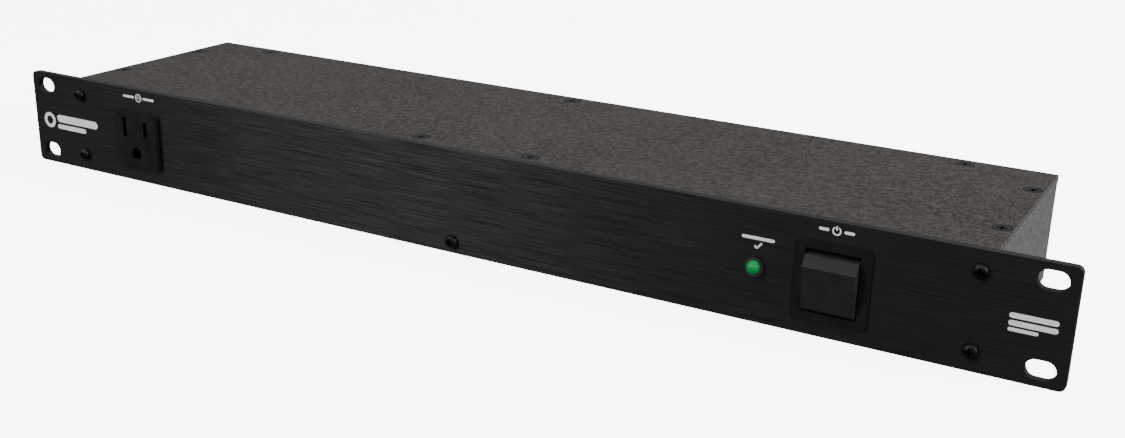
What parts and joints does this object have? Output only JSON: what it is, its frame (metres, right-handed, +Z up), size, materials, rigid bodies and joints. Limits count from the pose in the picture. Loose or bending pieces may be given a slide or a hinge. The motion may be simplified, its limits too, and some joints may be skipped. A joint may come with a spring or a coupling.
{
  "type": "rack power strip",
  "caption": "One-unit rack power strip: brushed front panel with an outlet, status lamp and rocker switch on a shallow steel box with rear outlets, reset breaker and cord gland.",
  "frame": {"origin": "centre of the front panel's rear face, which is the rack mounting plane, on the middle of the four rack slots", "axes": "+X to the right seen from the front, +Y to the rear, +Z up"},
  "size_m": [0.4826, 0.1169, 0.044],
  "materials": {
    "brushed_black": "black anodised, brushed along its length",
    "black_steel": "fine black powder coat",
    "grey_powder": "fine charcoal powder coat",
    "black_screws": "black oxide",
    "zinc": "zinc plated",
    "black_plastic": "moulded satin",
    "rocker_plastic": "fine spark-eroded texture",
    "button_plastic": "moulded satin",
    "lamp_holder_plastic": "gloss",
    "green_lens": "clear tinted, gloss",
    "brass": "stamped",
    "copper": "bare or enamelled copper",
    "spring_steel": "drawn wire",
    "cream_plastic": "moulded",
    "tinned_leads": "tin plated",
    "board_green": "solder mask",
    "ferrite": "sintered, matt",
    "capacitor_yellow": "moulded case",
    "varistor_blue": "epoxy dipped",
    "ceramic_white": "glazed",
    "resistor_tan": "lacquered",
    "black_wire": "PVC insulation",
    "white_wire": "PVC insulation",
    "green_wire": "PVC insulation",
    "red_wire": "PVC insulation"
  },
  "bodies": {
    "chassis": {"front_panel": "brushed_black", "panel_screws": "black_screws", "panel_nuts": "zinc", "chassis_tray": "black_steel", "top_cover": "grey_powder", "cover_screws": "black_screws", "ground_stud": "zinc", "ground_nut": "zinc", "front_outlet_body": "black_plastic", "front_outlet_contacts": "brass", "rear_outlet_body_1": "black_plastic", "rear_outlet_body_2": "black_plastic", "rear_outlet_body_3": "black_plastic", "rear_outlet_body_4": "black_plastic", "rear_outlet_body_5": "black_plastic", "rear_outlet_body_6": "black_plastic", "rear_outlet_body_7": "black_plastic", "rear_outlet_body_8": "black_plastic", "rear_outlet_contacts_1": "brass", "rear_outlet_contacts_2": "brass", "rear_outlet_contacts_3": "brass", "rear_outlet_contacts_4": "brass", "rear_outlet_contacts_5": "brass", "rear_outlet_contacts_6": "brass", "rear_outlet_contacts_7": "brass", "rear_outlet_contacts_8": "brass", "line_bus": "copper", "neutral_bus": "brass", "ground_bus": "copper", "switch_housing": "black_plastic", "switch_terminals": "brass", "lamp_holder": "lamp_holder_plastic", "status_lamp": "green_lens", "lamp_leads": "tinned_leads", "circuit_board": "board_green", "board_standoffs": "zinc", "board_screws": "zinc", "choke_core": "ferrite", "choke_winding": "copper", "filter_capacitor": "capacitor_yellow", "varistors": "varistor_blue", "thermal_fuse": "ceramic_white", "bleed_resistor": "resistor_tan", "board_terminals": "tinned_leads", "breaker_body": "black_plastic", "breaker_nut": "black_plastic", "cord_gland": "black_plastic", "line_wires": "black_wire", "neutral_wires": "white_wire", "ground_wires": "green_wire", "lamp_wires": "red_wire"},
    "rocker": {"switch_rocker": "rocker_plastic", "switch_plunger": "cream_plastic", "switch_spring": "spring_steel"},
    "contact_lever": {"switch_contact_lever": "copper"},
    "reset_button": {"breaker_button": "button_plastic"}
  },
  "joints": [
    {"name": "rocker_tilt", "type": "hinge", "parent": "chassis", "child": "rocker", "pos_m": [0.1594, 0.0072, -0.0011], "axis": [-1, 0, 0], "range_deg": [0, 20]},
    {"name": "contact_lever_tilt", "type": "hinge", "parent": "chassis", "child": "contact_lever", "pos_m": [0.1594, 0.01655, -0.0011], "axis": [1, 0, 0], "range_deg": [0, 15.4]},
    {"name": "reset_button_slide", "type": "slide", "parent": "chassis", "child": "reset_button", "axis": [0, 1, 0], "range_m": [0, 0.004]}
  ],
  "couplings": [
    {"joint": "contact_lever_tilt", "follows": "rocker_tilt", "ratio": 0.77}
  ]
}
